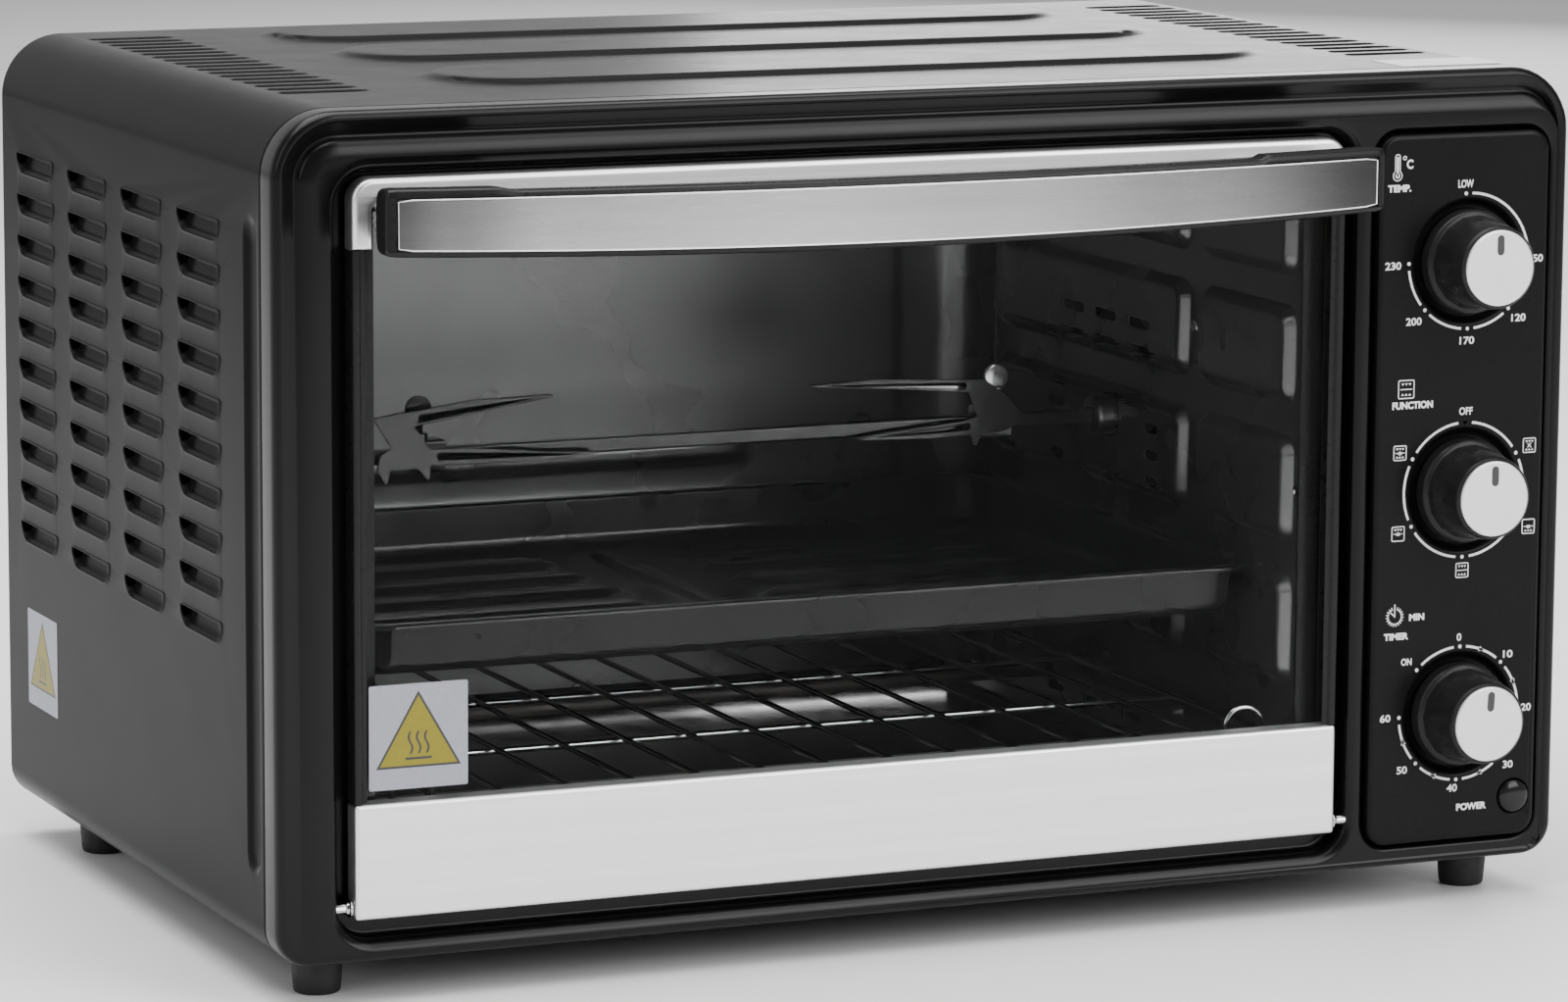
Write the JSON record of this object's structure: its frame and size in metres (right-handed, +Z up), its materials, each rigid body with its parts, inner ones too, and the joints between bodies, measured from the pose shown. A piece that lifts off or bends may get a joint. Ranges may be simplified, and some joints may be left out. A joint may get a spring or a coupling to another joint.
{
  "type": "rotisserie oven",
  "caption": "Countertop rotisserie oven with a drop-down glass door, rotary controls, driven spit with meat forks, wire rack, baking tray and crumb tray.",
  "frame": {"origin": "centre of the footprint, on the surface that the feet stand on", "axes": "+X to the user's right (the long way across the front), +Y to the rear, +Z up; the door faces -Y"},
  "size_m": [0.54, 0.3976, 0.333],
  "materials": {
    "casing_paint": "black satin stoved paint on pressed steel",
    "panel_paint": "black satin paint with white dial print",
    "cavity_enamel": "dark grey semi-gloss coated steel",
    "silver_trim": "fine brushed silver sheet",
    "knob_cap_silver": "satin silver disc with a black pointer",
    "knob_plastic": "black moulded plastic, fluted grip",
    "black_plastic": "black moulded plastic",
    "glass_clear": "clear toughened glass",
    "chrome_wire": "bright plated steel",
    "plain_steel": "plain steel",
    "element_sheath": "dull heating element sheath",
    "component_case": "zinc-plated housings",
    "black_rubber": "black rubber",
    "lamp_lens": "dark translucent lens, unlit",
    "tray_enamel": "glossy black enamel"
  },
  "bodies": {
    "oven": {"casing_wrap": "casing_paint", "rear_panel": "casing_paint", "base_plate": "casing_paint", "front_bezel": "casing_paint", "control_panel": "panel_paint", "power_lamp": "lamp_lens", "foot_front_left": "black_rubber", "foot_front_right": "black_rubber", "foot_rear_left": "black_rubber", "foot_rear_right": "black_rubber", "cord_gland": "black_rubber", "cavity_left_wall": "cavity_enamel", "cavity_right_wall": "cavity_enamel", "cavity_roof": "cavity_enamel", "cavity_floor": "cavity_enamel", "cavity_rear_wall": "cavity_enamel", "upper_element_front": "element_sheath", "upper_element_rear": "element_sheath", "lower_element_front": "element_sheath", "lower_element_rear": "element_sheath", "spit_support": "plain_steel", "thermostat": "component_case", "selector_switch": "component_case", "timer_mechanism": "component_case", "rotisserie_motor": "component_case", "fan_motor": "component_case"},
    "door": {"door_top_trim": "silver_trim", "door_bottom_trim": "silver_trim", "door_glass": "glass_clear", "door_left_rail": "black_plastic", "door_right_rail": "black_plastic", "hinge_pin_left": "chrome_wire", "hinge_pin_right": "chrome_wire", "handle_bar": "black_plastic", "handle_inlay": "silver_trim"},
    "temp_control": {"temp_knob": "knob_plastic", "temp_knob_cap": "knob_cap_silver", "temp_shaft": "plain_steel"},
    "function_control": {"function_knob": "knob_plastic", "function_knob_cap": "knob_cap_silver", "function_shaft": "plain_steel"},
    "timer_control": {"timer_knob": "knob_plastic", "timer_knob_cap": "knob_cap_silver", "timer_shaft": "plain_steel"},
    "spit": {"spit_rod": "chrome_wire", "drive_socket": "plain_steel"},
    "left_fork": {"fork_left": "chrome_wire"},
    "right_fork": {"fork_right": "chrome_wire"},
    "left_screw": {"thumb_screw_left": "chrome_wire"},
    "right_screw": {"thumb_screw_right": "chrome_wire"},
    "fan": {"fan_blade": "plain_steel", "fan_shaft": "plain_steel"},
    "rack": {"wire_rack": "chrome_wire", "rack_hook_left": "chrome_wire", "rack_hook_right": "chrome_wire"},
    "tray": {"baking_tray": "tray_enamel"},
    "crumb": {"crumb_tray": "tray_enamel"}
  },
  "joints": [
    {"name": "door_hinge", "type": "hinge", "parent": "oven", "child": "door", "pos_m": [-0.035, -0.14555, 0.0365], "axis": [1, 0, 0], "range_deg": [0, 85]},
    {"name": "temp_knob_turn", "type": "hinge", "parent": "oven", "child": "temp_control", "pos_m": [0.2245, -0.15055, 0.2578], "axis": [0, 1, 0], "range_deg": [0, 270]},
    {"name": "function_knob_turn", "type": "hinge", "parent": "oven", "child": "function_control", "pos_m": [0.2245, -0.15055, 0.1668], "axis": [0, 1, 0], "range_deg": [0, 300]},
    {"name": "timer_knob_turn", "type": "hinge", "parent": "oven", "child": "timer_control", "pos_m": [0.2245, -0.15055, 0.0769], "axis": [0, 1, 0], "range_deg": [-50, 270]},
    {"name": "spit_turn", "type": "hinge", "parent": "oven", "child": "spit", "pos_m": [0, 0.02145, 0.177], "axis": [1, 0, 0], "continuous": true},
    {"name": "fork_left_slide", "type": "slide", "parent": "spit", "child": "left_fork", "axis": [1, 0, 0], "range_m": [-0.045, 0.04]},
    {"name": "fork_right_slide", "type": "slide", "parent": "spit", "child": "right_fork", "axis": [1, 0, 0], "range_m": [-0.04, 0.03]},
    {"name": "thumb_screw_left_turn", "type": "hinge", "parent": "left_fork", "child": "left_screw", "pos_m": [-0.1515, 0.02145, 0.177], "axis": [0, 0, 1], "continuous": true},
    {"name": "thumb_screw_right_turn", "type": "hinge", "parent": "right_fork", "child": "right_screw", "pos_m": [0.1015, 0.02145, 0.177], "axis": [0, 0, 1], "continuous": true},
    {"name": "fan_turn", "type": "hinge", "parent": "oven", "child": "fan", "pos_m": [0.168, 0.02945, 0.226], "axis": [1, 0, 0], "continuous": true},
    {"name": "rack_slide", "type": "slide", "parent": "oven", "child": "rack", "axis": [0, -1, 0], "range_m": [0, 0.031]},
    {"name": "tray_slide", "type": "slide", "parent": "oven", "child": "tray", "axis": [0, -1, 0], "range_m": [0, 0.113]},
    {"name": "crumb_tray_slide", "type": "slide", "parent": "oven", "child": "crumb", "axis": [0, 1, 0], "range_m": [0, 0.26]}
  ],
  "couplings": [
    {"joint": "rack_slide", "follows": "door_hinge", "m_per_rad": 0.02},
    {"joint": "tray_slide", "follows": "door_hinge", "m_per_rad": 0.075}
  ]
}
